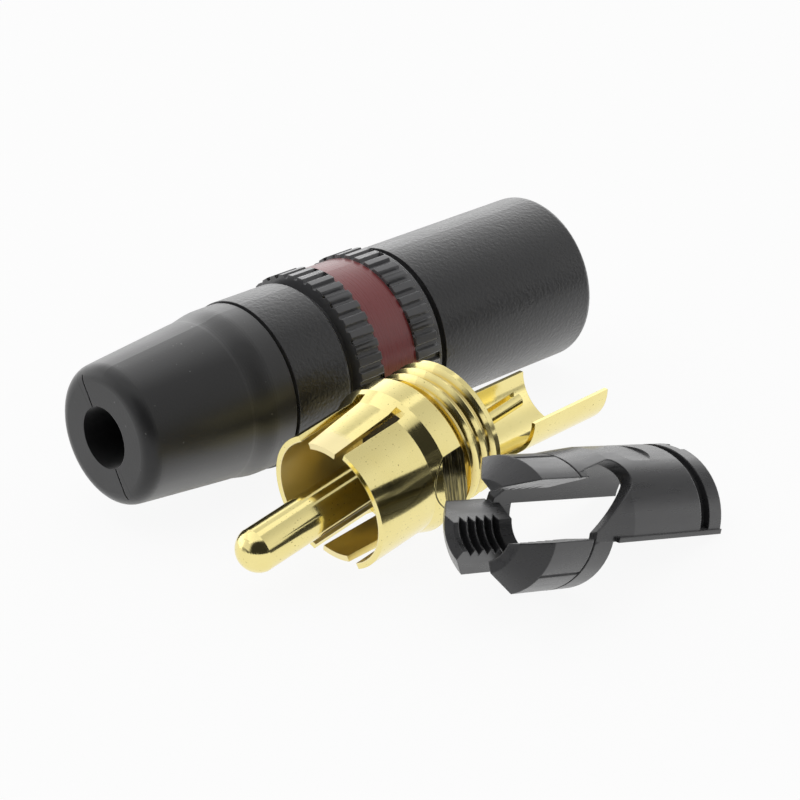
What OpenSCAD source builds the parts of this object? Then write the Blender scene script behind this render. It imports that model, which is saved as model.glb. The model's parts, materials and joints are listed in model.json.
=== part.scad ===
// Solder-on phono plug, laid out as it comes apart on a bench. The black shell with its rubber boot
// and its colour ring lies at the back, the gilt contact insert lies in front of it, and the moulded
// chuck that grips the cable lies beside the insert. Lengths are in millimetres.

/* [Boot] */
// Length of the boot from its end face to the seam
boot_len = 12.4; // [10:0.1:16]
// Diameter of the boot where its side would meet the end face
boot_tip_d = 10.2; // [9.8:0.1:11]
// Diameter where the straight cone ends
boot_waist_d = 11.85; // [11.4:0.05:12.3]
// Diameter of the band at the seam
boot_band_d = 12.5; // [12.3:0.1:12.9]
// Length of the band at the seam
boot_band_len = 1.6; // [0.6:0.1:2.4]
// Length of the soft shoulder between the cone and the band
boot_shoulder_len = 2.2; // [1.4:0.1:3]
// Rounding of the end face
boot_edge_r = 1.1; // [0.4:0.1:1.2]
// Diameter of the hole for the cable
cable_hole_d = 4.6; // [3.6:0.1:6]
// Length of that hole, through the nose of the boot
cable_hole_len = 4.5; // [3:0.1:5.5]
// Width of the thin mould line across the end face
mould_line_w = 0.12; // [0.08:0.02:0.3]
// Depth of the mould line
mould_line_depth = 0.15; // [0.05:0.05:0.4]
// Angle of the mould line, from upright towards the insert
mould_line_angle = -30; // [-90:5:90]

/* [Shell] */
// Open seam between the boot and the neck
seam_gap = 0.25; // [0.1:0.05:0.5]
// Diameter of the neck
neck_d = 12.7; // [12.2:0.1:12.9]
// Length of the neck
neck_len = 5; // [4:0.1:7]
// Rounding at the front of the neck
neck_edge_r = 0.35; // [0.2:0.05:0.6]
// Width of the deep groove behind the rear knurl
deep_groove_w = 0.65; // [0.4:0.05:1]
// Diameter at the floor of the deep groove
deep_groove_d = 11.3; // [11:0.1:12]
// Diameter over the knurl teeth
knurl_d = 13.5; // [13.2:0.1:14]
// Depth of the knurl
knurl_depth = 0.26; // [0.2:0.02:0.4]
// Number of knurl teeth round each band
knurl_teeth = 40; // [24:4:48]
// Width of each knurl groove at the crests
knurl_gap_w = 0.55; // [0.3:0.05:0.6]
// Slope of a knurl tooth's flank, as a distance across
knurl_flank = 0.16; // [0.05:0.01:0.2]
// Width of the rear knurl band
rear_knurl_w = 2.15; // [1.8:0.05:3.2]
// Width of the front knurl band
front_knurl_w = 2.1; // [1.6:0.1:3]
// Width of the smooth rim in front of the knurl
rim_w = 0.45; // [0.3:0.05:0.8]
// Width of the groove between the rim and the barrel
front_groove_w = 0.55; // [0.3:0.05:0.9]
// Diameter at the floor of that groove
front_groove_d = 11.9; // [11.5:0.1:12.2]
// Diameter of the front barrel
barrel_d = 12.9; // [12.5:0.05:13.1]
// Length of the front barrel
barrel_len = 15.7; // [12:0.1:20]
// Rounding of the barrel's front edge
barrel_edge_r = 0.55; // [0.3:0.05:0.7]
// Diameter of the passage through the spigot
passage_d = 6.6; // [6.2:0.1:7.2]
// Distance from the seam back to the narrow end of the cone that squeezes the chuck
squeeze_back = 1.8; // [0:0.1:3]
// Length of that cone
squeeze_len = 13.5; // [10:0.1:15]
// Diameter of the spigot that carries the boot
spigot_d = 9.5; // [9.2:0.1:10]
// Distance from the spigot's end to the middle of the bead that holds the boot
bead_back = 2.5; // [1.5:0.1:4]
// Height of that bead
bead_h = 0.3; // [0.15:0.05:0.45]
// Width of that bead
bead_w = 0.8; // [0.5:0.1:1.2]

/* [Colour ring] */
// Width of the colour ring
ring_w = 3.4; // [2.4:0.1:5]
// Outer diameter of the colour ring
ring_d = 13; // [12.8:0.05:13.1]
// Thickness of the colour ring
ring_t = 0.6; // [0.45:0.05:0.7]

/* [Contact sleeve] */
// Outer diameter of the contact sleeve
sleeve_d = 10.2; // [9.8:0.1:10.4]
// Wall of the contact sleeve
sleeve_wall = 0.45; // [0.3:0.05:0.6]
// Length of the sleeve in front of its cone
sleeve_len = 5.2; // [5:0.1:7]
// Depth of the sleeve's slots from its mouth
slot_len = 5.9; // [5.3:0.1:6.1]
// Half angle of the gap that the slots open in the top and bottom of the sleeve
slot_half_angle = 25; // [22:1:30]
// Half angle of each narrow spring finger in that gap
finger_half_angle = 16; // [10:1:18]
// How far the tips of the narrow fingers are bent inwards
finger_sink = 0.55; // [0.2:0.05:0.8]
// Length of the cone between the sleeve and the collar
cone_len = 1.1; // [0.6:0.1:2]
// Depth of the open cavity from the sleeve's mouth
cavity_len = 7; // [6:0.1:8]

/* [Contact collar and thread] */
// Diameter of the collar
collar_d = 11.1; // [10.9:0.1:11.6]
// Width of the collar
collar_w = 2; // [1.4:0.1:3]
// Distance across the two spanner flats
across_flats = 10.2; // [10.2:0.1:10.6]
// How far the flats run forward into the cone
flat_runout = 0.45; // [0.2:0.05:0.8]
// Radius of the cutter that leaves the flats' curved front edge
flat_cutter_r = 6.5; // [5:0.5:10]
// Chamfer of the collar's rear edge
collar_chamfer = 0.25; // [0.1:0.05:0.3]
// Diameter over the thread
thread_d = 10.4; // [10.2:0.1:10.6]
// Depth of the thread
thread_depth = 0.4; // [0.25:0.05:0.5]
// Pitch of the thread
thread_pitch = 0.9; // [0.85:0.05:1.2]
// Length that each flank of the thread takes along the axis
thread_flank = 0.31; // [0.2:0.01:0.32]
// Width of the thread's root
thread_root_w = 0.18; // [0.1:0.02:0.2]
// Number of thread turns
thread_turns = 3; // [2:1:4]
// Width of the plain land behind the thread
rear_land = 0.3; // [0.3:0.05:0.8]
// Diameter of the recess in the rear face
recess_d = 8.4; // [8.2:0.1:8.8]
// Depth of that recess
recess_depth = 1.1; // [1:0.1:1.6]

/* [Centre contact] */
// Diameter of the centre pin
pin_d = 3.2; // [3:0.05:3.3]
// How far the pin stands out of the sleeve
pin_reach = 8.3; // [7:0.1:10]
// Length of the pin's round nose, which meets its side at a faint edge
pin_nose_len = 1.3; // [1:0.1:1.6]
// Diameter of the pin's stub inside the insulator
stub_d = 2.2; // [1.6:0.1:2.6]
// Diameter of the head that holds the insulator from behind
stub_head_d = 4.4; // [4.2:0.1:5]
// Thickness of that head
stub_head_t = 0.8; // [0.5:0.1:0.9]
// Diameter of the solder nib
nib_d = 1.2; // [1:0.1:1.6]
// Distance of the solder nib's axis below the pin's axis
nib_drop = 1.5; // [0:0.1:1.5]
// Length of the solder nib behind the contact body
nib_reach = 7.4; // [5:0.1:9]
// Width of the groove along the solder nib
nib_slot_w = 0.45; // [0.3:0.05:0.6]
// Diameter of the insulator
insulator_d = 7.2; // [6.8:0.1:7.6]

/* [Earth tab] */
// Thickness of the sheet
tab_t = 0.32; // [0.25:0.01:0.45]
// Outer radius of the trough
trough_r = 3.4; // [3.1:0.1:3.6]
// Distance of the trough's axis below the pin's axis
trough_drop = 0.5; // [0.2:0.1:0.6]
// Angle by which the trough is bent down from the pin's axis
trough_bend = 8; // [0:0.5:8]
// Length of the trough's far side behind the contact body
far_ear_end = 11.6; // [9:0.1:13]
// Length of the trough's near side behind the contact body
near_ear_end = 13.6; // [13:0.1:16]
// Distance from the contact body to the start of the near ear
near_ear_start = 5.6; // [4:0.1:8]
// Half angle of the low floor in front of the near ear
floor_half_angle = 35; // [25:1:50]

/* [Chuck] */
// Length of the chuck
chuck_len = 21.9; // [20:0.1:24]
// Diameter over the jaws
jaw_d = 9.2; // [8.9:0.1:9.6]
// Length of the jaws
jaw_len = 6.6; // [6:0.1:8]
// Diameter at the tip of the jaws
jaw_tip_d = 6.2; // [5.2:0.1:6.8]
// Length of the conical tip of the jaws
jaw_bevel_len = 1.9; // [1.4:0.1:2.6]
// Half angle of each of the three jaws
jaw_half_angle = 33; // [31:1:40]
// Slope of the upper jaw's side walls, down towards the axis
upper_wall_slope = 30; // [18:1:36]
// Slope of the lower jaws' upper walls, down towards the axis
lower_wall_slope = 17; // [0:1:20]
// Length of the ramp inside, where a jaw thins to the arch's wall
jaw_ramp_len = 0.8; // [0.4:0.1:1.4]
// Diameter between the tooth crests of the jaws
grip_d = 4.6; // [4:0.1:5]
// Depth of the teeth
tooth_depth = 0.55; // [0.3:0.05:0.7]
// Pitch of the teeth
tooth_pitch = 0.95; // [0.7:0.05:1]
// Number of teeth in each jaw
tooth_count = 5; // [3:1:5]
// Width of the flat crest of each tooth
tooth_crest_w = 0.1; // [0.05:0.05:0.2]
// Width of the fine grooves that mark the jaws
mark_w = 0.25; // [0.1:0.05:0.3]
// Depth of those grooves
mark_depth = 0.12; // [0.05:0.01:0.2]
// Length of the ring that ties the lower jaws together
tie_len = 2.2; // [1.4:0.1:2.6]
// Diameter of the rear arch
arch_d = 9.85; // [9.7:0.05:10.2]
// Wall of the rear arch
arch_wall = 0.9; // [0.7:0.05:1]
// Direction in which a side window is cut, from the top of the chuck
window_angle = 66; // [60:1:70]
// Distance from the jaw tips to the centre of a window's round end
window_end = 10.7; // [9.5:0.1:12]
// Height of that centre above the middle of the cut
window_rise = 2.6; // [2.4:0.05:2.8]
// Radius of a window's round end
window_r = 1.05; // [0.8:0.05:1.2]
// Distance from the jaw tips to the window's lower corner
window_low = 5.7; // [5:0.1:6]
// Width of the groove near the rear end
tail_groove_w = 1.1; // [0.8:0.1:1.6]
// Depth of that groove
tail_groove_depth = 0.5; // [0.3:0.05:0.6]
// Width of the flange at the rear end
tail_flange_w = 1.6; // [1:0.1:2]
// Width of the notch in the top of the flange
tail_notch_w = 1.2; // [0.8:0.1:1.6]
// Depth of that notch
tail_notch_depth = 0.5; // [0.3:0.05:0.7]
// Thickness of the lip along the arch's lower edges
lip_t = 0.35; // [0.2:0.05:0.5]
// How far that lip stands out
lip_h = 0.12; // [0.1:0.02:0.2]
// Length of the oval recess in the roof of the arch
oval_len = 3.9; // [3:0.1:4.4]
// Width of the oval recess
oval_w = 2.5; // [1.5:0.1:2.8]
// Depth of the oval recess
oval_depth = 0.16; // [0.12:0.01:0.3]
// Distance from the jaw tips to the middle of the oval recess
oval_mid = 14.6; // [14:0.1:16]
// Angle of the oval recess, from the top towards the near side
oval_angle = 6; // [-10:1:10]

/* [Fits] */
// Clearance between a pushed-on piece and its seat
seat_clear = 0.02; // [0.01:0.01:0.05]
// Clearance on radius of what slides into the shell
slip_clear = 0.1; // [0.05:0.05:0.2]

/* [Layout] */
// Place of the sleeve's mouth along the shell, from the boot's end face
insert_x = 7.6; // [4:0.1:10]
// Distance of the sleeve's mouth from the shell's axis
insert_y = 14.9; // [14.5:0.1:16]
// Angle of the insert to the shell, seen from above
insert_yaw = 2.8; // [0:0.1:4]
// Place of the chuck's jaw tips along the shell, from the boot's end face
chuck_x = 9.2; // [6:0.1:12]
// Distance of the chuck's jaw tips from the shell's axis
chuck_y = 28.1; // [27.5:0.1:32]
// Angle of the chuck to the shell, seen from above
chuck_yaw = 6.9; // [0:0.1:7]

/* [Hidden] */
$fn = 96;
// Length by which a cutting shape runs past the face that it cuts
over = 1;

// Shell stations along its axis, counted from the boot's end face
spigot_start = cable_hole_len + seat_clear;
bead_mid = spigot_start + bead_back;
neck_start = boot_len + seam_gap;
neck_end = neck_start + neck_len;
rear_knurl_start = neck_end + deep_groove_w;
bed_start = rear_knurl_start + rear_knurl_w;
bed_end = bed_start + ring_w + 2 * seat_clear;
front_knurl_end = bed_end + front_knurl_w;
rim_end = front_knurl_end + rim_w;
barrel_start = rim_end + front_groove_w;
shell_end = barrel_start + barrel_len;
squeeze_start = boot_len - squeeze_back;
squeeze_end = squeeze_start + squeeze_len;
bed_d = ring_d - 2 * ring_t - 2 * seat_clear;
rim_d = knurl_d - 2 * knurl_depth;
bore_d = max(arch_d + 2 * lip_h, thread_d) + 2 * slip_clear;

// Boot cone, and the circle of its rounded end, which touches the end face and the cone
boot_cone_end = boot_len - boot_band_len - boot_shoulder_len;
boot_slope = atan((boot_waist_d - boot_tip_d) / 2 / boot_cone_end);
boot_edge_centre = boot_tip_d / 2 + boot_edge_r * tan(boot_slope) - boot_edge_r / cos(boot_slope);

// Contact stations along the insert's axis, counted from the sleeve's mouth
collar_start = sleeve_len + cone_len;
collar_end = collar_start + collar_w;
thread_start = collar_end + thread_pitch / 2;
body_end = thread_start + thread_pitch * thread_turns + rear_land;
recess_floor = body_end - recess_depth;
sleeve_in_d = sleeve_d - 2 * sleeve_wall;
pin_nose_r = (pin_d * pin_d / 4 + pin_nose_len * pin_nose_len) / (2 * pin_nose_len);

// The insert rests on the corners of its wide fingers and on the front edge of its collar
mouth_rest_r = max(sleeve_d / 2 * cos(slot_half_angle), sleeve_d / 2 - finger_sink);
insert_tilt = atan((collar_d / 2 - mouth_rest_r) / collar_start);
insert_z = mouth_rest_r * cos(insert_tilt);

// Chuck stations along its axis, counted from the jaw tips
tie_end = jaw_len + tie_len;
arch_in_d = arch_d - 2 * arch_wall;
tail_flange_start = chuck_len - tail_flange_w;
tail_groove_start = tail_flange_start - tail_groove_w;

// The chuck rests on its tie ring and on the rear corners of its arch
chuck_tilt = atan(jaw_d / 2 / (chuck_len - tie_end));
chuck_z = jaw_d / 2 * cos(chuck_tilt) + tie_end * sin(chuck_tilt);

// Corners of the whole layout, for the origin in the middle of its base
pin_tip_x = insert_x - (pin_reach - pin_nose_r) * cos(insert_tilt) * cos(insert_yaw) - pin_nose_r;
layout_x = (shell_end + min(0, pin_tip_x)) / 2;
jaw_near_y = jaw_bevel_len * cos(chuck_tilt) * sin(chuck_yaw)
    - jaw_d / 2 * norm([cos(chuck_yaw), sin(chuck_tilt) * sin(chuck_yaw)]);
tail_near_y = chuck_len * cos(chuck_tilt) * sin(chuck_yaw) - (arch_d / 2 + lip_h) * cos(chuck_yaw);
layout_y = (knurl_d / 2 - chuck_y + min(jaw_near_y, tail_near_y)) / 2;

// Lays a piece that is modelled upright on its side: its Z runs along +X, its X points up,
// and its Y points to the near side
module lie() {
    rotate([0, 90, 0])
        rotate([0, 0, 180])
            children();
}

module at_shell() {
    translate([-layout_x, -layout_y, knurl_d / 2])
        lie()
            children();
}

module at_insert() {
    translate([insert_x - layout_x, -insert_y - layout_y, insert_z])
        rotate([0, -insert_tilt, insert_yaw])
            lie()
                children();
}

module at_chuck() {
    translate([chuck_x - layout_x, -chuck_y - layout_y, chuck_z])
        rotate([0, chuck_tilt, chuck_yaw])
            lie()
                children();
}

// Half section of a plain turned band, from one station to another
module band(from, to, d) {
    translate([0, from])
        square([d / 2, to - from]);
}

// Half section of a turned ring
module band_ring(from, to, d_out, d_in) {
    translate([d_in / 2, from])
        square([(d_out - d_in) / 2, to - from]);
}

// Half section of a cone between two stations
module taper(from, to, d_from, d_to) {
    polygon([[0, from], [d_from / 2, from], [d_to / 2, to], [0, to]]);
}

// Half section of a band whose upper outer edge is rounded
module round_top_band(from, to, d, r) {
    band(from, to - r, d);
    band(from, to, d - 2 * r);
    translate([d / 2 - r, to - r])
        circle(r);
}

// A wedge round the Z axis, centred on an angle
module wedge(angle, half_angle, from, to, r) {
    rotate([0, 0, angle - half_angle])
        rotate_extrude(angle = 2 * half_angle)
            translate([0, from])
                square([r, to - from]);
}

// Cuts a flat outline straight in from the side: its X runs round the piece and its Y along the axis
module radial_cut(angle, r_from, r_to) {
    rotate([0, 0, angle])
        translate([r_from, 0, 0])
            rotate([90, 0, 90])
                linear_extrude(r_to - r_from)
                    children();
}

module shell_section() {
    difference() {
        union() {
            band(spigot_start, neck_start, spigot_d);
            band(bead_mid - bead_w / 2, bead_mid + bead_w / 2, spigot_d + 2 * bead_h);
            round_top_band(neck_start, neck_end, neck_d, neck_edge_r);
            band(neck_start, rear_knurl_start, deep_groove_d);
            band(rear_knurl_start, bed_start, knurl_d);
            band(bed_start, bed_end, bed_d);
            band(bed_end, front_knurl_end, knurl_d);
            band(front_knurl_end, rim_end, rim_d);
            band(rim_end, barrel_start, front_groove_d);
            round_top_band(barrel_start, shell_end, barrel_d, barrel_edge_r);
        }
        band(spigot_start - over, shell_end, passage_d);
        taper(squeeze_start, squeeze_end, passage_d, bore_d);
        band(squeeze_end, shell_end + over, bore_d);
    }
}

module knurl_grooves(from, to) {
    half_w = knurl_gap_w / 2;
    for (i = [0 : knurl_teeth - 1])
        rotate([0, 0, (i + 0.5) * 360 / knurl_teeth])
            translate([knurl_d / 2, 0, from])
                linear_extrude(to - from)
                    polygon([
                        [-knurl_depth, knurl_flank - half_w],
                        [0, -half_w],
                        [over, -half_w],
                        [over, half_w],
                        [0, half_w],
                        [-knurl_depth, half_w - knurl_flank]
                    ]);
}

module shell() {
    color("#2b2b2d")
        at_shell()
            difference() {
                rotate_extrude()
                    shell_section();
                knurl_grooves(rear_knurl_start, bed_start);
                knurl_grooves(bed_end, front_knurl_end);
            }
}

module colour_ring() {
    color("#8c3a3a")
        at_shell()
            rotate_extrude()
                band_ring(bed_start + seat_clear, bed_end - seat_clear, ring_d, ring_d - 2 * ring_t);
}

// Radius along the boot's soft shoulder: an S from the cone to the band, at a share t of its length
function shoulder_r(t) = boot_waist_d / 2 + (boot_band_d - boot_waist_d) / 2 * t * t * (3 - 2 * t);

module boot_section() {
    steps = 10;
    polygon(concat(
        [
            [0, 0],
            [boot_edge_centre, 0],
            [boot_edge_centre + boot_edge_r * cos(boot_slope), boot_edge_r * (1 - sin(boot_slope))]
        ],
        [for (i = [0 : steps]) [shoulder_r(i / steps), boot_cone_end + boot_shoulder_len * i / steps]],
        [[boot_band_d / 2, boot_len], [0, boot_len]]
    ));
    translate([boot_edge_centre, boot_edge_r])
        circle(boot_edge_r);
}

module boot() {
    bead_seat_w = bead_w + 2 * seat_clear;
    color("#333335")
        at_shell()
            difference() {
                rotate_extrude()
                    difference() {
                        boot_section();
                        band(-over, boot_len, cable_hole_d);
                        band(cable_hole_len, boot_len + over, spigot_d + 2 * seat_clear);
                        translate([0, bead_mid - bead_seat_w / 2])
                            square([spigot_d / 2 + bead_h + seat_clear, bead_seat_w]);
                    }
                rotate([0, 0, mould_line_angle])
                    translate([-boot_tip_d, -mould_line_w / 2, -over])
                        cube([2 * boot_tip_d, mould_line_w, over + mould_line_depth]);
            }
}

// Half section of the grooves between the thread's crests
module thread_section() {
    for (i = [0 : thread_turns - 1])
        translate([thread_d / 2, thread_start + thread_pitch * i])
            polygon([
                [over, 0],
                [0, 0],
                [-thread_depth, thread_flank],
                [-thread_depth, thread_flank + thread_root_w],
                [0, 2 * thread_flank + thread_root_w],
                [over, 2 * thread_flank + thread_root_w]
            ]);
}

module body_section() {
    root_d = thread_d - 2 * thread_depth;
    difference() {
        union() {
            band(0, sleeve_len, sleeve_d);
            taper(sleeve_len, collar_start, sleeve_d, collar_d);
            band(collar_start, collar_end - collar_chamfer, collar_d);
            taper(collar_end - collar_chamfer, collar_end, collar_d, collar_d - 2 * collar_chamfer);
            band(collar_end, thread_start, root_d);
            band(thread_start, body_end, thread_d);
        }
        thread_section();
        band(-over, cavity_len, sleeve_in_d);
        band(0, body_end, insulator_d);
        band(recess_floor, body_end + over, recess_d);
    }
}

// Radius of the cone between the sleeve and the collar
function cone_r(station) = sleeve_d / 2 + (collar_d - sleeve_d) / 2 * (station - sleeve_len) / cone_len;

// One narrow finger of the sleeve, leaning in from its root to its tip
module spring_finger(angle) {
    rotate([0, 0, angle - finger_half_angle])
        rotate_extrude(angle = 2 * finger_half_angle)
            polygon([
                [sleeve_in_d / 2 - finger_sink, 0],
                [sleeve_d / 2 - finger_sink, 0],
                [sleeve_d / 2, sleeve_len],
                [cone_r(slot_len), slot_len],
                [sleeve_in_d / 2, slot_len]
            ]);
}

// Outline of a spanner flat: a cutter's curve in front, and the end of the collar behind
module flat_outline() {
    intersection() {
        translate([0, collar_start - flat_runout + flat_cutter_r])
            circle(flat_cutter_r);
        translate([-collar_d, collar_start - flat_runout])
            square([2 * collar_d, collar_w + flat_runout]);
    }
}

module contact_body() {
    color("#d8bd5a")
        at_insert() {
            difference() {
                rotate_extrude()
                    body_section();
                for (angle = [0, 180])
                    wedge(angle, slot_half_angle, -over, slot_len, sleeve_d);
                for (angle = [90, 270])
                    radial_cut(angle, across_flats / 2, collar_d)
                        flat_outline();
            }
            for (angle = [0, 180])
                spring_finger(angle);
        }
}

module insulator() {
    color("#26262a")
        at_insert()
            rotate_extrude()
                band_ring(cavity_len, recess_floor, insulator_d - 2 * seat_clear, stub_d + 2 * seat_clear);
}

module solder_nib() {
    nib_end = body_end + nib_reach;
    difference() {
        translate([-nib_drop, 0, recess_floor + seat_clear])
            cylinder(d = nib_d, h = nib_end - recess_floor - seat_clear);
        translate([-nib_drop, -nib_slot_w / 2, body_end])
            cube([nib_d, nib_slot_w, nib_reach + over]);
    }
}

module centre_pin() {
    nose_end = pin_nose_len - pin_reach;
    nose_turn = asin(pin_d / 2 / pin_nose_r);
    color("#d8bd5a")
        at_insert() {
            rotate_extrude() {
                polygon(concat(
                    [[0, nose_end]],
                    arc([0, pin_nose_r - pin_reach], pin_nose_r, -90, nose_turn - 90, 16)
                ));
                band(nose_end, cavity_len - seat_clear, pin_d);
                band(0, recess_floor + seat_clear, stub_d);
                band(recess_floor + seat_clear, recess_floor + seat_clear + stub_head_t, stub_head_d);
            }
            solder_nib();
        }
}

// Bent trough with one ear that reaches further back than the other
module trough() {
    near_end = recess_depth + near_ear_end;
    far_end = recess_depth + far_ear_end;
    ear_start = recess_depth + near_ear_start;
    difference() {
        rotate([0, 0, 90])
            rotate_extrude(angle = 180)
                band_ring(0, near_end, 2 * trough_r, 2 * (trough_r - tab_t));
        wedge(90, 90 - floor_half_angle, recess_depth, ear_start, 2 * trough_r);
        wedge(270, 90, far_end, near_end + over, 2 * trough_r);
    }
}

module earth_tab() {
    base = recess_floor + seat_clear;
    color("#dcc463")
        at_insert() {
            rotate_extrude()
                band_ring(base, base + tab_t, recess_d - 2 * seat_clear, 2 * (trough_r - 2 * tab_t));
            difference() {
                translate([-trough_drop, 0, base])
                    rotate([0, -trough_bend, 0])
                        trough();
                translate([0, 0, base - 2 * over])
                    cylinder(d = 2 * recess_d, h = 2 * over);
            }
        }
}

// Half section of a jaw with saw teeth, and with the ramp that thins it to the arch's wall
module jaw_section() {
    difference() {
        union() {
            taper(0, jaw_bevel_len, jaw_tip_d, jaw_d);
            band(jaw_bevel_len, jaw_len + jaw_ramp_len, jaw_d);
        }
        band(-over, jaw_len, grip_d);
        taper(jaw_len, jaw_len + jaw_ramp_len, grip_d, arch_in_d);
        for (i = [0 : tooth_count - 1])
            translate([grip_d / 2, tooth_pitch / 2 + tooth_pitch * i])
                polygon([
                    [-over, 0],
                    [0, 0],
                    [tooth_depth, tooth_pitch - tooth_crest_w],
                    [-over, tooth_pitch - tooth_crest_w]
                ]);
    }
}

module jaw(angle) {
    difference() {
        rotate([0, 0, angle - jaw_half_angle])
            rotate_extrude(angle = 2 * jaw_half_angle)
                jaw_section();
        radial_cut(angle, jaw_d / 2 - mark_depth, jaw_d)
            translate([-mark_w / 2, jaw_bevel_len])
                square([mark_w, jaw_len - jaw_bevel_len]);
        rotate_extrude()
            band_ring(jaw_len - mark_w, jaw_len, 2 * jaw_d, jaw_d - 2 * mark_depth);
    }
}

// All that is above a wall that slopes down to the axis from an angle on the near side of the jaws
module above_wall(angle, slope) {
    rotate([0, 0, angle])
        translate([jaw_d / 2, 0, -over])
            rotate([0, 0, -angle - slope])
                translate([0, -jaw_d, 0])
                    cube([jaw_d, 2 * jaw_d, jaw_len + jaw_ramp_len + 2 * over]);
}

module upper_jaw() {
    intersection() {
        jaw(0);
        above_wall(jaw_half_angle, upper_wall_slope);
        mirror([0, 1, 0])
            above_wall(jaw_half_angle, upper_wall_slope);
    }
}

module lower_jaw() {
    difference() {
        jaw(120);
        above_wall(120 - jaw_half_angle, lower_wall_slope);
    }
}

module arch_section() {
    difference() {
        union() {
            taper(jaw_len, window_end, jaw_d, arch_d);
            band(window_end, tail_groove_start, arch_d);
            band(tail_groove_start, tail_flange_start, arch_d - 2 * tail_groove_depth);
            band(tail_flange_start, chuck_len, arch_d);
        }
        band(jaw_len - over, chuck_len + over, arch_in_d);
    }
}

// How far a point of the arch, at an angle from the top, is from the middle of the cut, seen along it
function window_offset(angle) = arch_d / 2 * sin(angle - window_angle);

// Direction of the line from a corner that touches a circle, on the side that the sign picks
function touch_turn(corner, centre, r, side) =
    let (way = centre - corner)
    atan2(way[1], way[0]) + side * asin(r / norm(way));

function arc(centre, r, from, to, steps) =
    [for (i = [0 : steps]) let (turn = from + (to - from) * i / steps) centre + r * [cos(turn), sin(turn)]];

// Window between the upper jaw and a lower jaw: a round end, and straight edges that touch it
module window_outline() {
    centre = [-window_rise, window_end];
    upper = [window_offset(jaw_half_angle), jaw_len - over];
    lower = [window_offset(120 - jaw_half_angle), window_low];
    arc_from = touch_turn(upper, centre, window_r, 1) + 90;
    arc_to = touch_turn(lower, centre, window_r, -1) - 90;
    polygon(concat([upper], arc(centre, window_r, arc_from, arc_to, 14), [lower]));
}

module arch() {
    difference() {
        rotate([0, 0, -90])
            rotate_extrude(angle = 180)
                arch_section();
        radial_cut(window_angle, 0, arch_d)
            window_outline();
        mirror([0, 1, 0])
            radial_cut(window_angle, 0, arch_d)
                window_outline();
        radial_cut(oval_angle, arch_d / 2 - oval_depth, arch_d)
            oval_outline();
        radial_cut(0, arch_d / 2 - tail_notch_depth, arch_d)
            translate([-tail_notch_w / 2, chuck_len - tail_notch_depth])
                square([tail_notch_w, over]);
    }
}

// Lower half of the ring that ties the two lower jaws together under the arch
module tie() {
    rotate([0, 0, 90])
        rotate_extrude(angle = 180)
            band_ring(jaw_len, tie_end, jaw_d, arch_in_d);
}

module arch_lips() {
    for (side = [-1, 1])
        translate([0, side * (arch_d / 2 + lip_h) - (side > 0 ? arch_wall : 0), tie_end])
            cube([lip_t, arch_wall, chuck_len - tie_end]);
}

module oval_outline() {
    straight = oval_len - oval_w;
    for (end = [-1, 1])
        translate([0, oval_mid + end * straight / 2])
            circle(d = oval_w);
    translate([-oval_w / 2, oval_mid - straight / 2])
        square([oval_w, straight]);
}

module chuck() {
    color("#38383a")
        at_chuck() {
            upper_jaw();
            lower_jaw();
            mirror([0, 1, 0])
                lower_jaw();
            arch();
            tie();
            arch_lips();
        }
}

shell();
colour_ring();
boot();
contact_body();
insulator();
centre_pin();
earth_tab();
chuck();
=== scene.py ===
# %% [markdown]
# A phono plug, taken apart on a white bench: a black shell with a rubber boot and a red ring, a gilt contact
# insert, and a moulded chuck that grips the cable. The solids come from the CAD frame. This file gives them
# their finishes, adds the one small form that the solids leave out, and sets up the camera and the light.

# %% Frame
import bmesh
import bpy
import json
import math
from mathutils import Matrix, Vector


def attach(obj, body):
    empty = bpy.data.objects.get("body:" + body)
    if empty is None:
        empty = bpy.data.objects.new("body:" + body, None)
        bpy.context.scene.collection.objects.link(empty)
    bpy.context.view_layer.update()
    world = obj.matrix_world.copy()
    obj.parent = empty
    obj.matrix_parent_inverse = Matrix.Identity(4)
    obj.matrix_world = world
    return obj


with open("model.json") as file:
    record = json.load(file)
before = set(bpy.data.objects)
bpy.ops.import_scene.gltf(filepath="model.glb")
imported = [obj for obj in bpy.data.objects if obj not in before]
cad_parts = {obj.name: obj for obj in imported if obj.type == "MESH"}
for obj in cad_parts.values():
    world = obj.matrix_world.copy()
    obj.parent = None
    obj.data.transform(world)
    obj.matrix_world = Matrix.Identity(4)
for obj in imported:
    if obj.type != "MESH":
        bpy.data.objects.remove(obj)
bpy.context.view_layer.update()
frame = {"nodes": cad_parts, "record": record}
nodes = frame["nodes"]
mounts = {mount["name"]: mount for mount in frame["record"]["mounts"]}
collection = bpy.context.scene.collection
MM = 0.001


# %% [markdown]
# Three groups lie on the bench, and each has its own axes. A finish that follows a turned part, such as tool
# marks round a sleeve, needs them. The shell's and the insert's come from the record's mounts, because a mount
# already says where an axis runs. The chuck has no mount, so the place and the turn of its tip are given here.

# %% Axes of the three groups
PIN_MOUNT_TO_MOUTH = 6.5
CHUCK_TIP, CHUCK_TILT, CHUCK_YAW = (-11.835, -15.248, 7.256), 19.35, 6.9

pin_mount = mounts["centre_pin"]
pin_axis = -Vector(pin_mount["axis"])
sleeve_mouth = Vector(pin_mount["pos_m"]) + PIN_MOUNT_TO_MOUTH * MM * pin_axis
insert_tilt, insert_yaw = math.asin(pin_axis.z), math.atan2(pin_axis.y, pin_axis.x)
shell_axes = (Vector(mounts["cable_entry"]["pos_m"]), (0, 0, 0))
insert_axes = (sleeve_mouth, (0, -insert_tilt, insert_yaw))
chuck_axes = (Vector(CHUCK_TIP) * MM, (0, math.radians(CHUCK_TILT), math.radians(CHUCK_YAW)))
print("insert tilt %.2f, yaw %.2f degrees" % (math.degrees(insert_tilt), math.degrees(insert_yaw)))

# %% [markdown]
# The camera stands where the photographer stood, a little above the bench and far enough away for a flat view.
# A long lens on a square frame gives the same perspective.

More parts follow.
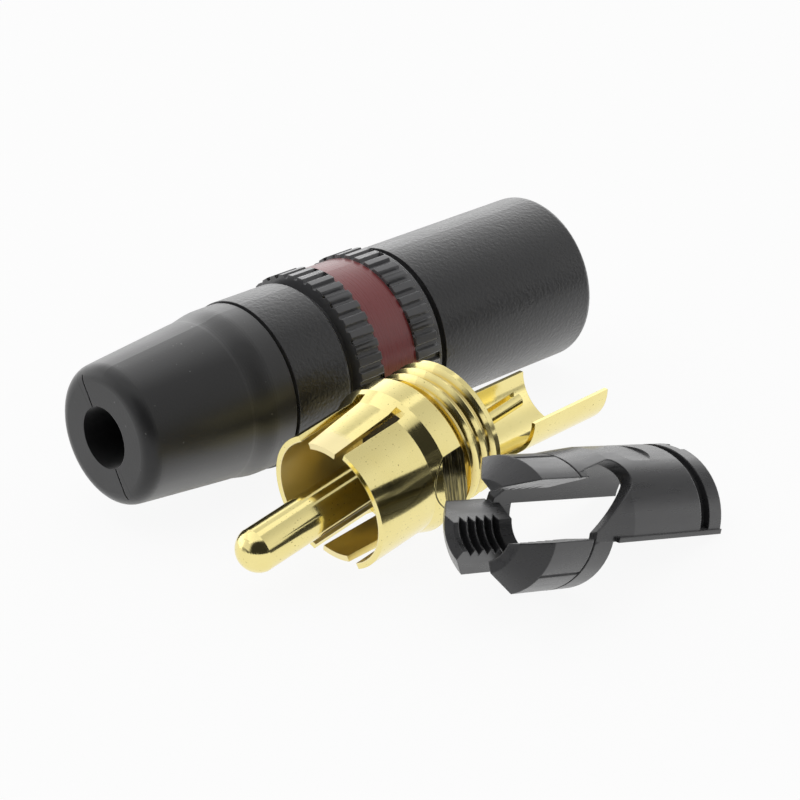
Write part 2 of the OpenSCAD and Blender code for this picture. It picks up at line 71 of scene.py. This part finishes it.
# %% Camera
CAMERA_PLACE, CAMERA_TARGET = (-128.553, -131.264, 93.80), (7.949, 13.574, 0.06)
LENS, SENSOR = 128.5, 36


def stand(thing, place_mm, target_mm):
    thing.location = Vector(place_mm) * MM
    thing.rotation_euler = (Vector(target_mm) * MM - thing.location).to_track_quat("-Z", "Y").to_euler()
    collection.objects.link(thing)


camera_data = bpy.data.cameras.new("camera")
camera_data.sensor_width = SENSOR
camera_data.lens = LENS
camera_data.clip_start, camera_data.clip_end = 0.01, 10
camera = bpy.data.objects.new("camera", camera_data)
stand(camera, CAMERA_PLACE, CAMERA_TARGET)
bpy.context.scene.camera = camera
print("camera at", CAMERA_PLACE, "mm, lens", LENS, "mm")

# %% [markdown]
# Finishes, light and the swept thread are all node trees. A node has settings, and each of its sockets takes
# either a constant or the output of another node. One helper covers both, so that the trees below read like sums.


# %% Helpers for node trees
class Tree:
    def __init__(self, tree):
        self.tree = tree

    def plug(self, socket, value):
        if isinstance(value, bpy.types.NodeSocket):
            self.tree.links.new(value, socket)
        elif socket.type == "RGBA":
            socket.default_value = (*value, 1)
        else:
            socket.default_value = value

    def fill(self, sockets, values):
        for socket, value in zip(sockets, values):
            self.plug(socket, value)

    def node(self, kind, settings=None, **inputs):
        made = self.tree.nodes.new(kind)
        for name, value in (settings or {}).items():
            setattr(made, name, value)
        for name, value in inputs.items():
            self.plug(made.inputs[name.replace("_", " ")], value)
        return made

    def math(self, operation, *values):
        made = self.node("ShaderNodeMath", {"operation": operation})
        self.fill(made.inputs, values)
        return made.outputs["Value"]

    def dot(self, *vectors):
        made = self.node("ShaderNodeVectorMath", {"operation": "DOT_PRODUCT"})
        self.fill(made.inputs, vectors)
        return made.outputs["Value"]

    def remap(self, value, low, high, to_low=0, to_high=1, curve="LINEAR"):
        made = self.node("ShaderNodeMapRange", {"interpolation_type": curve}, Value=value,
                         From_Min=low, From_Max=high, To_Min=to_low, To_Max=to_high)
        return made.outputs["Result"]

    def mix(self, share, a, b, kind="RGBA"):
        made = self.node("ShaderNodeMix", {"data_type": "FLOAT" if kind == "VALUE" else kind}, Factor=share)
        ends = [socket for socket in made.inputs if socket.name in ("A", "B") and socket.type == kind]
        self.fill(ends, (a, b))
        return [socket for socket in made.outputs if socket.type == kind][0]


# %% [markdown]
# A finish is a node tree on a Principled shader. All of these finishes start the same way: coordinates in the
# group's own axes, in millimetres, so that a pattern's size can be read straight from the number. A Mapping node
# of the Texture kind moves and turns the coordinates back to those axes. Moulded and turned edges are never
# knife-sharp, so each finish also starts from a Bevel node, which bends the normal over an edge without changing
# the mesh. Where that bent normal differs from the true one there is an edge, and that gives the place for wear
# and for a painted edge highlight: a paler colour where edges would catch the light. A moulded skin also shines
# more at a slant than square on, and Layer Weight tells the two apart.

# %% Helpers for finishes
EDGE_START, EDGE_FULL = 0.985, 0.80
SLANT_START, SLANT_FULL = 0.25, 0.65
NOISE_LOW, NOISE_HIGH = 0.3, 0.7


class Finish(Tree):
    def __init__(self, name, axes, edge_mm):
        self.material = bpy.data.materials.new(name)
        self.material.use_nodes = True
        super().__init__(self.material.node_tree)
        self.shader = self.tree.nodes["Principled BSDF"]
        place, turn = axes
        where = self.node("ShaderNodeTexCoord").outputs["Object"]
        mapping = self.node("ShaderNodeMapping", {"vector_type": "TEXTURE"}, Vector=where,
                            Location=place, Rotation=turn, Scale=(MM, MM, MM))
        self.local = mapping.outputs["Vector"]
        self.x, self.y, self.z = self.node("ShaderNodeSeparateXYZ", Vector=self.local).outputs
        square = self.math("ADD", self.times(self.y, self.y), self.times(self.z, self.z))
        self.radius = self.math("SQRT", square)
        self.normal = self.node("ShaderNodeBevel", {"samples": 4}, Radius=edge_mm * MM).outputs["Normal"]
        true_normal = self.node("ShaderNodeNewGeometry").outputs["Normal"]
        self.edge = self.remap(self.dot(self.normal, true_normal), EDGE_START, EDGE_FULL)
        self.slant = self.node("ShaderNodeLayerWeight", Blend=0.5).outputs["Facing"]
        self.set(Normal=self.normal)

    def stretched(self, scale):
        return self.node("ShaderNodeMapping", Vector=self.local, Scale=scale).outputs["Vector"]

    def noise(self, per_mm, detail=2, rough=0.5, vector=None):
        made = self.node("ShaderNodeTexNoise", Vector=vector or self.local, Scale=per_mm, Detail=detail,
                         Roughness=rough)
        return made.outputs["Fac"]

    def times(self, *values):
        product = values[0]
        for value in values[1:]:
            product = self.math("MULTIPLY", product, value)
        return product

    def flip(self, share):
        return self.math("SUBTRACT", 1, share)

    def between(self, value, low, high, soft=0.05):
        return self.times(self.remap(value, low - soft, low + soft), self.remap(value, high + soft, high - soft))

    def vary(self, noise, low, high):
        return self.remap(noise, NOISE_LOW, NOISE_HIGH, low, high)

    def shine(self, square_on, slanted):
        return self.remap(self.slant, SLANT_START, SLANT_FULL, square_on, slanted)

    def raise_by(self, height, depth_mm, strength):
        bump = self.node("ShaderNodeBump", Height=height, Distance=depth_mm * MM, Strength=strength,
                         Normal=self.normal)
        self.normal = bump.outputs["Normal"]
        self.set(Normal=self.normal)

    def set(self, **values):
        for name, value in values.items():
            self.plug(self.shader.inputs[name.replace("_", " ")], value)


def dress(node_name, finish):
    node = nodes[node_name]
    node.data.materials.clear()
    node.data.materials.append(finish.material)
    print("finish", finish.material.name, "on", node_name)


# %% [markdown]
# The shell is moulded in black plastic. Its neck and barrel have a soft leathery grain, which the etched mould
# leaves on them. Its two knurled bands are plain, a shade paler and glossier, with crests that fingers have
# rubbed. They could be two materials, but the shell is one moulding, so one material takes the grain away between
# two stations along the axis, and inside the bore, instead. All its edges are a little paler, partly from wear
# and partly as a painted highlight.

# %% Shell plastic
BAND_START, BAND_END, BORE_EDGE = 17.65, 26.95, 6.0
SHELL_DARK, SHELL_PALE = (0.014, 0.014, 0.015), (0.020, 0.020, 0.022)
BAND_GREY, SHELL_WEAR_AND_HIGHLIGHT = (0.072, 0.072, 0.076), (0.10, 0.10, 0.105)
GRAIN_PER_MM, GRAIN_DEPTH = 3.6, 0.07

shell = Finish("shell_plastic", shell_axes, edge_mm=0.09)
bands = shell.between(shell.x, BAND_START, BAND_END)
outside = shell.remap(shell.radius, BORE_EDGE, BORE_EDGE + 0.2)
shell_cloud = shell.noise(0.35)
# Paler edges: partly wear, partly a painted highlight where edges catch the light.
shell_wear_and_highlight = shell.times(shell.edge, shell.remap(shell.noise(1.3), 0.35, 0.65, 0.4, 1))
shell_black = shell.mix(shell_cloud, SHELL_DARK, SHELL_PALE)
shell.set(
    Base_Color=shell.mix(shell_wear_and_highlight, shell.mix(bands, shell_black, BAND_GREY), SHELL_WEAR_AND_HIGHLIGHT),
    Roughness=shell.mix(bands, shell.vary(shell_cloud, 0.26, 0.34), 0.24, kind="VALUE"),
    Specular_IOR_Level=shell.shine(0.45, 1.5),
    Sheen_Weight=0.75,
    Sheen_Roughness=0.33,
)
grain = shell.times(shell.noise(GRAIN_PER_MM), shell.flip(bands), outside)
shell.raise_by(grain, GRAIN_DEPTH, strength=0.6)
dress("shell", shell)

# %% [markdown]
# The front of the shell is threaded inside, because the contact body screws into it. On a computer a thread can
# be cut, or swept: here one ridge follows a helix. Geometry Nodes suit it, since the helix is a Spiral, the ridge
# is a small three-sided profile, and Curve to Mesh sweeps one along the other. The sizes are named inputs of the
# tree. Set Curve Normal keeps the ridge's tip pointing at the axis all the way round. The helix runs a little
# inside the wall, so that the tip stands clear of the wall and the two other corners are sunk in it.

# %% Thread ridge as a node tree
RIDGE_INSET, RIDGE_TIP = 0.25, 0.65
HELIX_STEPS, RIDGE_SIDES = 96, 3
SIZE_INPUTS = ("Turns", "Pitch", "Ridge", "Wall radius")


def front_thread_tree():
    group = bpy.data.node_groups.new("front_thread", "GeometryNodeTree")
    kinds = {**dict.fromkeys(SIZE_INPUTS, "NodeSocketFloat"), "Finish": "NodeSocketMaterial"}
    identifiers = {}
    for name, kind in kinds.items():
        identifiers[name] = group.interface.new_socket(name, in_out="INPUT", socket_type=kind).identifier
    group.interface.new_socket("Thread", in_out="OUTPUT", socket_type="NodeSocketGeometry")
    thread = Tree(group)
    given = thread.node("NodeGroupInput").outputs
    length = thread.math("MULTIPLY", given["Turns"], given["Pitch"])
    radius = thread.math("MULTIPLY_ADD", given["Ridge"], -RIDGE_INSET, given["Wall radius"])
    helix = thread.node("GeometryNodeCurveSpiral", Resolution=HELIX_STEPS, Rotations=given["Turns"],
                        Start_Radius=radius, End_Radius=radius, Height=length)
    upright = thread.node("GeometryNodeSetCurveNormal", {"mode": "Z_UP"}, Curve=helix.outputs["Curve"])
    profile = thread.node("GeometryNodeCurvePrimitiveCircle", Resolution=RIDGE_SIDES,
                          Radius=thread.math("MULTIPLY", given["Ridge"], RIDGE_TIP))
    sweep = thread.node("GeometryNodeCurveToMesh", Curve=upright.outputs["Curve"],
                        Profile_Curve=profile.outputs["Curve"], Fill_Caps=True)
    real = thread.node("GeometryNodeRealizeInstances", Geometry=sweep.outputs["Mesh"])
    coat = thread.node("GeometryNodeSetMaterial", Geometry=real.outputs["Geometry"], Material=given["Finish"])
    thread.node("NodeGroupOutput", Thread=coat.outputs["Geometry"])
    return group, identifiers


# %% [markdown]
# The tree needs an object to run on. Its result is then made a plain mesh, whose faces are turned outwards, and
# whose place is put into the mesh: up to a short plain land behind the shell's front.

# %% Thread ridge
TURNS, PITCH, RIDGE = 4.0, 0.9, 0.26
BORE_WALL, FRONT_LAND = 5.3, 0.7

thread_group, thread_inputs = front_thread_tree()
maker = bpy.data.objects.new("front_thread_maker", bpy.data.meshes.new("front_thread_maker"))
collection.objects.link(maker)
modifier = maker.modifiers.new("thread", "NODES")
modifier.node_group = thread_group
for name, value in zip(SIZE_INPUTS, (TURNS, PITCH * MM, RIDGE * MM, BORE_WALL * MM)):
    modifier[thread_inputs[name]] = value
modifier[thread_inputs["Finish"]] = shell.material
thread_mesh = bpy.data.meshes.new_from_object(maker.evaluated_get(bpy.context.evaluated_depsgraph_get()))
bpy.data.objects.remove(maker)

outward = bmesh.new()
outward.from_mesh(thread_mesh)
bmesh.ops.recalc_face_normals(outward, faces=outward.faces)
outward.to_mesh(thread_mesh)
outward.free()
radii = [math.hypot(vertex.co.x, vertex.co.y) / MM for vertex in thread_mesh.vertices]
print("thread ridge: radius %.2f to %.2f mm, %d faces" % (min(radii), max(radii), len(thread_mesh.polygons)))

shell_front = max(vertex.co.x for vertex in nodes["shell"].data.vertices)
thread_start = shell_axes[0].copy()
thread_start.x = shell_front - (TURNS * PITCH + FRONT_LAND) * MM
thread_mesh.transform(Matrix.Translation(thread_start) @ Matrix.Rotation(math.pi / 2, 4, "Y"))
front_thread = bpy.data.objects.new("front_thread", thread_mesh)
collection.objects.link(front_thread)
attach(front_thread, "root")

# %% [markdown]
# The ring is a coloured plastic band with a satin skin. A thin noise stretched round it gives the faint handling
# lines, and its two rims are a little paler, partly from wear where it was pressed on and partly as a painted
# highlight.

# %% Ring plastic
RING_DARK, RING_PALE, RING_RIM_WEAR_AND_HIGHLIGHT = (0.20, 0.024, 0.026), (0.24, 0.034, 0.036), (0.26, 0.09, 0.09)

ring = Finish("ring_plastic", shell_axes, edge_mm=0.06)
ring_lines = ring.noise(1.0, vector=ring.stretched((9, 0.7, 0.7)))
ring_red = ring.mix(ring.noise(0.9, detail=3), RING_DARK, RING_PALE)
ring.set(
    # Paler rims: partly wear, partly a painted highlight on the edges.
    Base_Color=ring.mix(ring.times(ring.edge, 0.5), ring_red, RING_RIM_WEAR_AND_HIGHLIGHT),
    Roughness=ring.vary(ring_lines, 0.24, 0.34),
    Specular_IOR_Level=ring.shine(0.6, 1.0),
    Sheen_Weight=0.55,
    Sheen_Roughness=0.30,
)
ring.raise_by(ring_lines, depth_mm=0.003, strength=0.25)
dress("colour_ring", ring)

# %% [markdown]
# The boot is soft rubber with a smooth dull skin and a few pale specks of dust, which rubber always picks up. Its
# sides shine at a slant, and its end face stays dull. The two halves of its mould met across that face, and they
# left a fine split line through the cable hole. The line is a plane through the axis, so the distance from it is
# one dot product, and the station along the axis keeps it to the end.

# %% Boot rubber
SPLIT_ANGLE, SPLIT_WIDTH, SPLIT_DEPTH = math.radians(51), 0.05, 2.1
RUBBER_DARK, RUBBER_PALE = (0.014, 0.014, 0.015), (0.020, 0.020, 0.021)
DUST_GREY, SPLIT_BLACK = (0.10, 0.10, 0.10), (0.002, 0.002, 0.002)

boot = Finish("boot_rubber", shell_axes, edge_mm=0.04)
rubber_cloud = boot.noise(0.25, detail=3)
dust = boot.remap(boot.noise(2.6, detail=1), 0.75, 0.79)
off_split = boot.math("ABSOLUTE", boot.dot(boot.local, (0, math.sin(SPLIT_ANGLE), -math.cos(SPLIT_ANGLE))))
split = boot.times(
    boot.remap(off_split, SPLIT_WIDTH * 1.6, SPLIT_WIDTH * 0.6),
    boot.remap(boot.x, SPLIT_DEPTH, SPLIT_DEPTH - 0.3),
)
side_shine = boot.times(boot.remap(boot.slant, 0.18, 0.58), boot.remap(boot.x, 0.2, 1.4))
dusty_black = boot.mix(dust, boot.mix(rubber_cloud, RUBBER_DARK, RUBBER_PALE), DUST_GREY)
boot.set(
    Base_Color=boot.mix(split, dusty_black, SPLIT_BLACK),
    Roughness=boot.vary(rubber_cloud, 0.34, 0.42),
    Specular_IOR_Level=boot.remap(side_shine, 0, 1, 0.45, 1.5),
    Sheen_Weight=0.80,
    Sheen_Roughness=0.33,
)
boot.raise_by(boot.noise(6), depth_mm=0.012, strength=0.5)
dress("boot", boot)

# %% [markdown]
# The contacts are turned brass with a thin gold plating. Plated metal is bright but not a mirror: the lathe leaves
# fine lines round it, and the bath leaves slow waves and small dark pits. All three contacts share this, so a
# function makes it, and the pin and the tab need nothing more.

# %% Gilt
GOLD, PALE_GOLD, PIT_BROWN = (0.88, 0.75, 0.31), (0.93, 0.82, 0.38), (0.35, 0.27, 0.10)
GILT_ROUGHNESS = (0.09, 0.16)


def make_gilt(name):
    gilt = Finish(name, insert_axes, edge_mm=0.04)
    pits = gilt.remap(gilt.noise(6.5, detail=1), 0.70, 0.78)
    gilt.gold = gilt.mix(pits, gilt.mix(gilt.noise(0.5, detail=3), GOLD, PALE_GOLD), PIT_BROWN)
    lathe_lines = gilt.noise(1.0, detail=3, rough=0.6, vector=gilt.stretched((7, 0.5, 0.5)))
    gilt.rough = gilt.vary(lathe_lines, *GILT_ROUGHNESS)
    gilt.set(Metallic=1.0, Base_Color=gilt.gold, Roughness=gilt.rough)
    gilt.raise_by(gilt.noise(1.1), depth_mm=0.012, strength=0.3)
    gilt.raise_by(lathe_lines, depth_mm=0.003, strength=0.5)
    return gilt


dress("centre_pin", make_gilt("pin_gilt"))
dress("earth_tab", make_gilt("tab_gilt"))

# %% [markdown]
# On the contact body the plating is thinner and duller inside the sleeve, and brownish in the thread. The two
# flats on the collar were milled afterwards, so their lines run up and down. Their colour is a painted dark
# reflection, with paler painted streaks of reflection along those lines. Masks by station, radius and side put
# each of these in its place.

# %% Gilt of the contact body
SLEEVE_INSIDE, CAVITY_END = 4.72, 7.1
FLAT_SIDE, FLAT_START, FLAT_END = 5.1, 5.2, 8.35
THREAD_START, THREAD_END, THREAD_ROOT = 8.45, 11.6, 4.8
INSIDE_GOLD, THREAD_BROWN = (0.93, 0.81, 0.44), (0.66, 0.53, 0.21)
MILL_DARK_REFLECTION_PAINT, MILL_PALE_REFLECTION_PAINT = (0.08, 0.07, 0.03), (0.46, 0.39, 0.16)

body = make_gilt("body_gilt")
inside = body.times(
    body.remap(body.radius, SLEEVE_INSIDE + 0.03, SLEEVE_INSIDE - 0.03),
    body.remap(body.x, CAVITY_END + 0.1, CAVITY_END),
)
side = body.math("ABSOLUTE", body.y)
flats = body.times(
    body.remap(side, FLAT_SIDE - 0.02, FLAT_SIDE - 0.01),
    body.remap(side, FLAT_SIDE + 0.03, FLAT_SIDE + 0.02),
    body.between(body.x, FLAT_START, FLAT_END),
)
in_thread = body.times(
    body.between(body.x, THREAD_START, THREAD_END),
    body.remap(body.radius, THREAD_ROOT + 0.3, THREAD_ROOT),
)
mill_lines = body.noise(1.0, detail=3, rough=0.7, vector=body.stretched((7, 0, 0.25)))
# The flats' colour is painted reflection: dark, with paler painted streaks along the mill lines.
milled_painted_reflection = body.mix(body.remap(mill_lines, 0.47, 0.70), MILL_DARK_REFLECTION_PAINT, MILL_PALE_REFLECTION_PAINT)
turned = body.mix(in_thread, body.mix(inside, body.gold, INSIDE_GOLD), THREAD_BROWN)
body.set(
    Base_Color=body.mix(flats, turned, milled_painted_reflection),
    Roughness=body.mix(inside, body.rough, 0.36, kind="VALUE"),
)
body.raise_by(body.times(mill_lines, flats), depth_mm=0.05, strength=0.9)
dress("contact_body", body)

# %% [markdown]
# The insulator is a plain moulded plug of dark brown plastic, seen only deep in the sleeve and in the rear recess.
# Two browns and a dull skin are enough for it.

# %% Insulator plastic
BROWN_DARK, BROWN_PALE = (0.030, 0.022, 0.014), (0.046, 0.034, 0.021)

insulator = Finish("insulator_plastic", insert_axes, edge_mm=0.05)
insulator_cloud = insulator.noise(1.2)
insulator.set(
    Base_Color=insulator.mix(insulator_cloud, BROWN_DARK, BROWN_PALE),
    Roughness=insulator.vary(insulator_cloud, 0.40, 0.55),
)
dress("insulator", insulator)

# %% [markdown]
# The chuck is moulded in a tough dark grey plastic. Its mould was smooth, so it shines more than the shell, with
# faint flow lines along its length, soft edges, and edges a little paler, partly rubbed and partly a painted
# highlight.

# %% Chuck plastic
CHUCK_DARK, CHUCK_PALE, CHUCK_WEAR_AND_HIGHLIGHT = (0.025, 0.025, 0.027), (0.033, 0.033, 0.035), (0.075, 0.075, 0.079)

chuck = Finish("chuck_plastic", chuck_axes, edge_mm=0.16)
flow = chuck.noise(1.0, detail=3, vector=chuck.stretched((0.25, 1.6, 1.6)))
# Paler edges: partly wear, partly a painted highlight where edges catch the light.
chuck_wear_and_highlight = chuck.times(chuck.edge, chuck.remap(chuck.noise(1.1), 0.35, 0.65, 0.2, 0.8))
chuck.set(
    Base_Color=chuck.mix(chuck_wear_and_highlight, chuck.mix(flow, CHUCK_DARK, CHUCK_PALE), CHUCK_WEAR_AND_HIGHLIGHT),
    Roughness=chuck.vary(flow, 0.24, 0.34),
    Specular_IOR_Level=chuck.shine(0.5, 0.7),
    Sheen_Weight=0.30,
    Sheen_Roughness=0.30,
)
chuck.raise_by(chuck.noise(0.9, detail=1), depth_mm=0.006, strength=0.4)
dress("chuck", chuck)

# %% [markdown]
# The bench is a white sheet. For the eye of the camera, and in reflections, most of it is plain white, and the
# rest is a white diffuse surface that takes the faint shadows under the pieces. Light Path tells those rays apart.

# %% Bench
BENCH_HALF, PLAIN_WHITE_SHARE = 3, 0.92
WHITE, SHEET_WHITE = (1, 1, 1), (0.86, 0.86, 0.86)

bench_mesh = bpy.data.meshes.new("bench")
corners = [(x * BENCH_HALF, y * BENCH_HALF, 0) for x, y in ((-1, -1), (1, -1), (1, 1), (-1, 1))]
bench_mesh.from_pydata(corners, [], [(0, 1, 2, 3)])
bench = bpy.data.objects.new("bench", bench_mesh)
collection.objects.link(bench)
bench_white = bpy.data.materials.new("bench_white")
bench_white.use_nodes = True
sheet = Tree(bench_white.node_tree)
sheet.tree.nodes.clear()
ray = sheet.node("ShaderNodeLightPath").outputs
seen = sheet.math("MAXIMUM", ray["Is Camera Ray"], ray["Is Glossy Ray"])
diffuse = sheet.node("ShaderNodeBsdfDiffuse", Color=SHEET_WHITE)
glow = sheet.node("ShaderNodeEmission", Color=WHITE)
both = sheet.node("ShaderNodeMixShader")
sheet.fill(both.inputs, (sheet.math("MULTIPLY", seen, PLAIN_WHITE_SHARE), diffuse.outputs[0], glow.outputs[0]))
sheet.node("ShaderNodeOutputMaterial", Surface=both.outputs[0])
bench_mesh.materials.append(bench_white)
print("bench", 2 * BENCH_HALF, "m square")

# %% [markdown]
# The light is that of a white sweep in a room. The sheet runs up behind the pieces and is the brightest thing
# there. In front, the room is half as bright above the dark edge of the bench, and the photographer's own side is
# dark. Bright metal needs such a dark patch, because it shows nothing but what is round it, and a small one at the
# far end does the same for the back of the contact body. A ramp by height gives the back and the front, and one
# direction each mixes the back and the dark patches in. The camera itself sees plain white.

# %% Room light
BACK_STOPS = [(0.0, 0.95), (0.30, 0.95), (0.74, 0.46), (1.0, 0.30)]
FRONT_STOPS = [(0.0, 0.05), (0.10, 0.05), (0.22, 0.50), (0.6, 0.46), (1.0, 0.30)]
PHOTOGRAPHER_LEVEL, FAR_END_LEVEL, ROOM_STRENGTH = 0.02, 0.16, 1.75
BEHIND, PHOTOGRAPHER, FAR_END = (50, 0, -0.25, 0.25), (-126, 20, 0.60, 0.78), (-8, 12, 0.86, 0.97)

world = bpy.data.worlds.new("sweep")
bpy.context.scene.world = world
world.use_nodes = True
sky = Tree(world.node_tree)
sky.tree.nodes.clear()
direction = sky.node("ShaderNodeTexCoord").outputs["Generated"]
height = sky.node("ShaderNodeSeparateXYZ", Vector=direction).outputs["Z"]


def grey(level):
    return (level, level, level)


def height_ramp(stops):
    made = sky.node("ShaderNodeValToRGB", Fac=height)
    elements = made.color_ramp.elements
    while len(elements) < len(stops):
        elements.new(0.5)
    for element, (place, level) in zip(elements, stops):
        element.position = place
        element.color = (*grey(level), 1)
    return made.outputs["Color"]


def facing(azimuth, elevation, none, full):
    a, e = math.radians(azimuth), math.radians(elevation)
    toward = (math.cos(e) * math.cos(a), math.cos(e) * math.sin(a), math.sin(e))
    return sky.remap(sky.dot(direction, toward), none, full, curve="SMOOTHSTEP")


room = sky.mix(facing(*BEHIND), height_ramp(FRONT_STOPS), height_ramp(BACK_STOPS))
room = sky.mix(facing(*PHOTOGRAPHER), room, grey(PHOTOGRAPHER_LEVEL))
room = sky.mix(facing(*FAR_END), room, grey(FAR_END_LEVEL))
room_light = sky.node("ShaderNodeBackground", Color=room, Strength=ROOM_STRENGTH)
plain_white = sky.node("ShaderNodeBackground", Color=WHITE)
choice = sky.node("ShaderNodeMixShader")
to_camera = sky.node("ShaderNodeLightPath").outputs["Is Camera Ray"]
sky.fill(choice.inputs, (to_camera, room_light.outputs[0], plain_white.outputs[0]))
sky.node("ShaderNodeOutputWorld", Surface=choice.outputs[0])
print("room light", ROOM_STRENGTH, "with", len(sky.tree.nodes), "nodes")

# %% [markdown]
# One large soft box hangs over the bench, as in a studio. It lifts the tops of the pieces a little and gives the
# faint shadows on the sheet. The view transform is Standard, so that a colour shows as it is written.

# %% Soft box
BOX_PLACE, BOX_SIZE, BOX_WATTS = (-60, 60, 320), 400, 0.25

box_data = bpy.data.lights.new("top_box", "AREA")
box_data.shape = "RECTANGLE"
box_data.size = box_data.size_y = BOX_SIZE * MM
box_data.energy = BOX_WATTS
stand(bpy.data.objects.new("top_box", box_data), BOX_PLACE, (0, 0, 0))
bpy.context.scene.view_settings.view_transform = "Standard"
print("soft box", BOX_SIZE, "mm square,", BOX_WATTS, "W")
